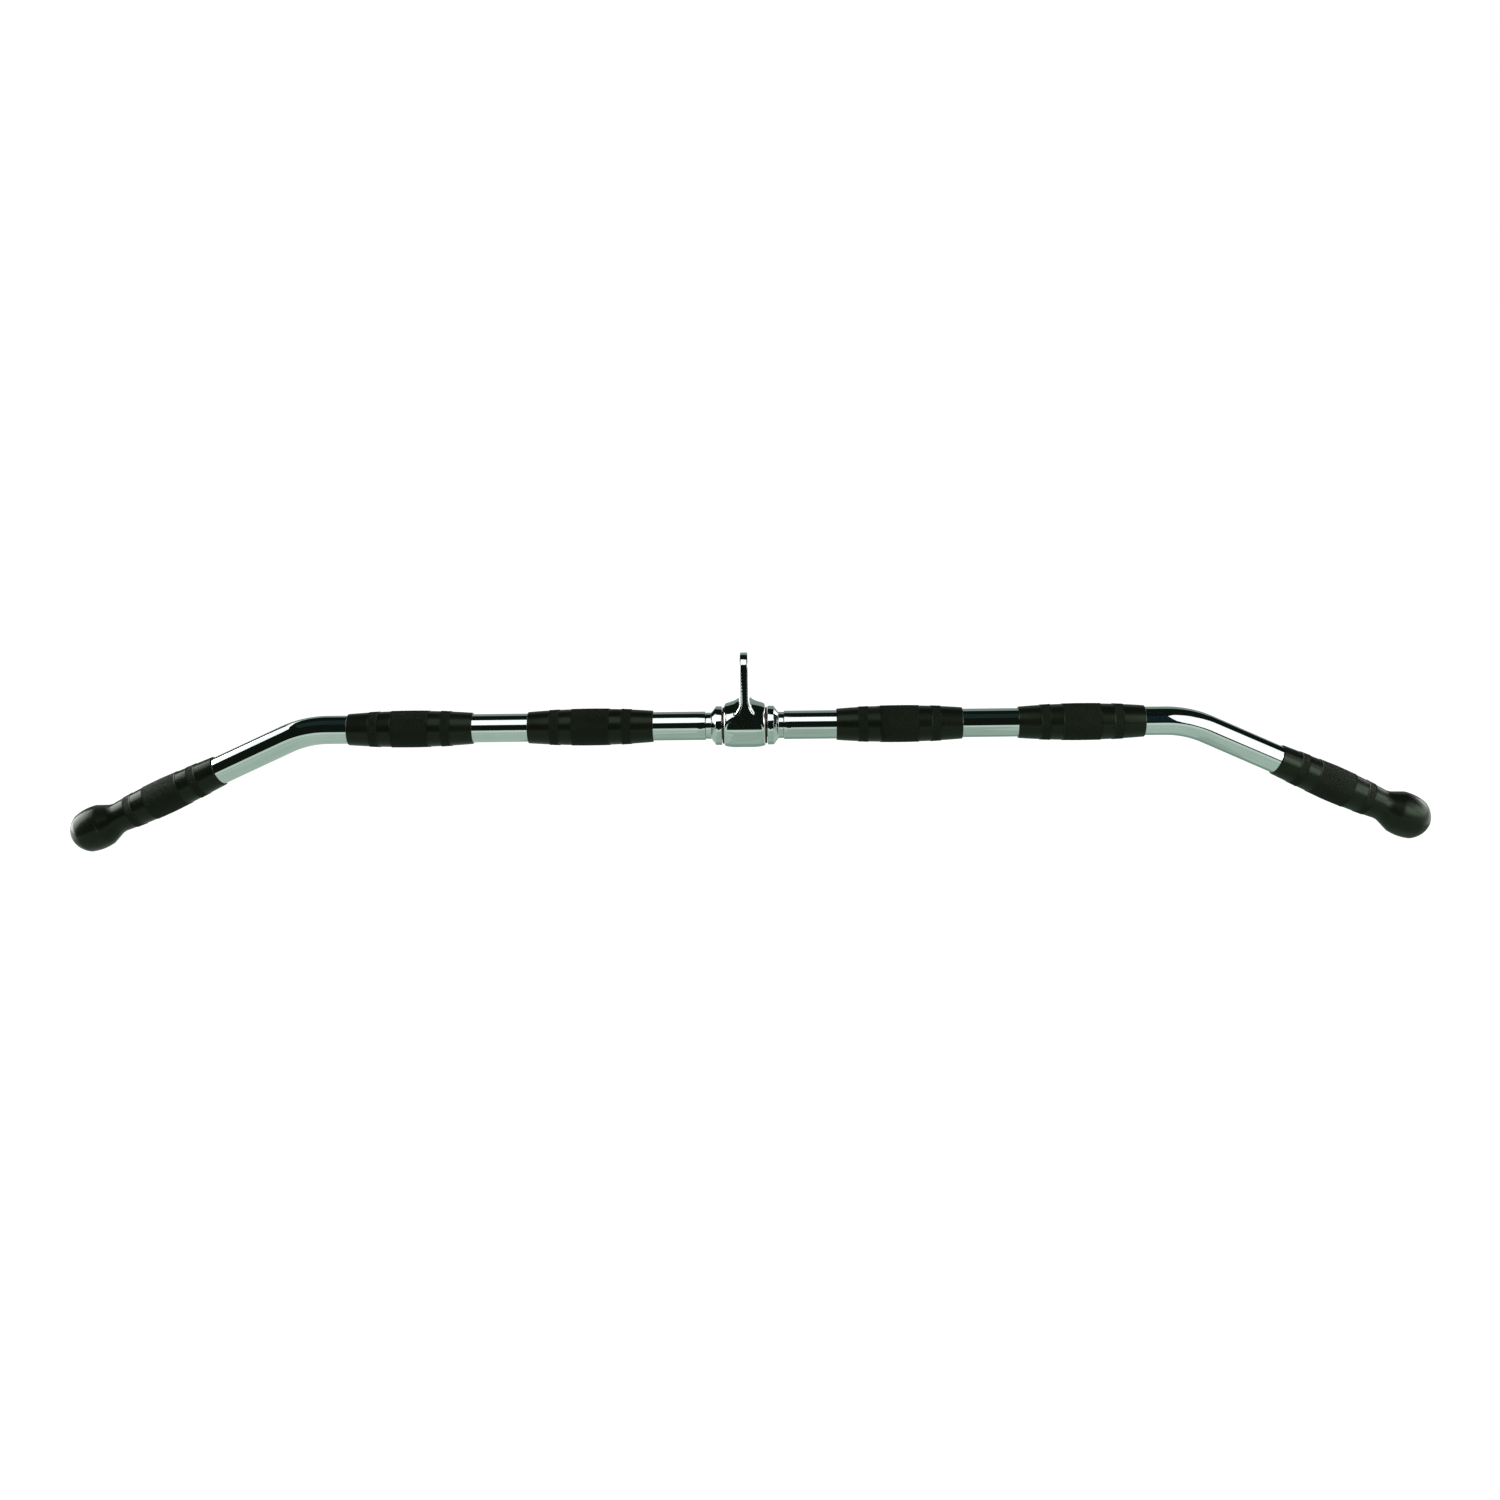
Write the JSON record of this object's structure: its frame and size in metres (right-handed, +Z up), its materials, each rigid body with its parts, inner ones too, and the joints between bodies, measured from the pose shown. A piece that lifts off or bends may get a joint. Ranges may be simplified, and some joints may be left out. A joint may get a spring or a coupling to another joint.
{
  "type": "pulldown bar",
  "caption": "Wide revolving pulldown bar: bent chrome tubes with rubber grips and knobbed end handles, on a cast hanger with an eye.",
  "frame": {"origin": "middle of the hanger's eye, where the cable's snap link hangs it", "axes": "+X along the straight part of the bar, +Z up, +Y square to both, through the bar from front to back"},
  "size_m": [1.2946, 0.0422, 0.1883],
  "materials": {
    "chrome_tube": "bright chrome plate on drawn steel tube",
    "chrome_turned": "bright chrome plate on turned steel, fine turning marks",
    "chrome_casting": "bright chrome plate on a polished casting",
    "rubber": "moulded black rubber, matt, with finely knurled raised bands",
    "ground_steel": "ground shaft steel",
    "bronze": "oiled sintered bronze",
    "screw_steel": "blackened screw steel",
    "plug_plastic": "moulded black polyethylene"
  },
  "bodies": {
    "hanger": {"hanger": "chrome_casting", "left_bush": "bronze", "right_bush": "bronze"},
    "bar": {"left_collar": "chrome_turned", "left_end_handle": "rubber", "left_inner_grip": "rubber", "left_outer_grip": "rubber", "left_set_screw": "screw_steel", "left_tube": "chrome_tube", "left_tube_plug": "plug_plastic", "right_collar": "chrome_turned", "right_end_handle": "rubber", "right_inner_grip": "rubber", "right_outer_grip": "rubber", "right_set_screw": "screw_steel", "right_tube": "chrome_tube", "right_tube_plug": "plug_plastic", "spindle": "ground_steel"}
  },
  "joints": [
    {"name": "hanger_revolve", "type": "hinge", "parent": "hanger", "child": "bar", "pos_m": [0, 0, -0.055], "axis": [1, 0, 0], "continuous": true}
  ]
}
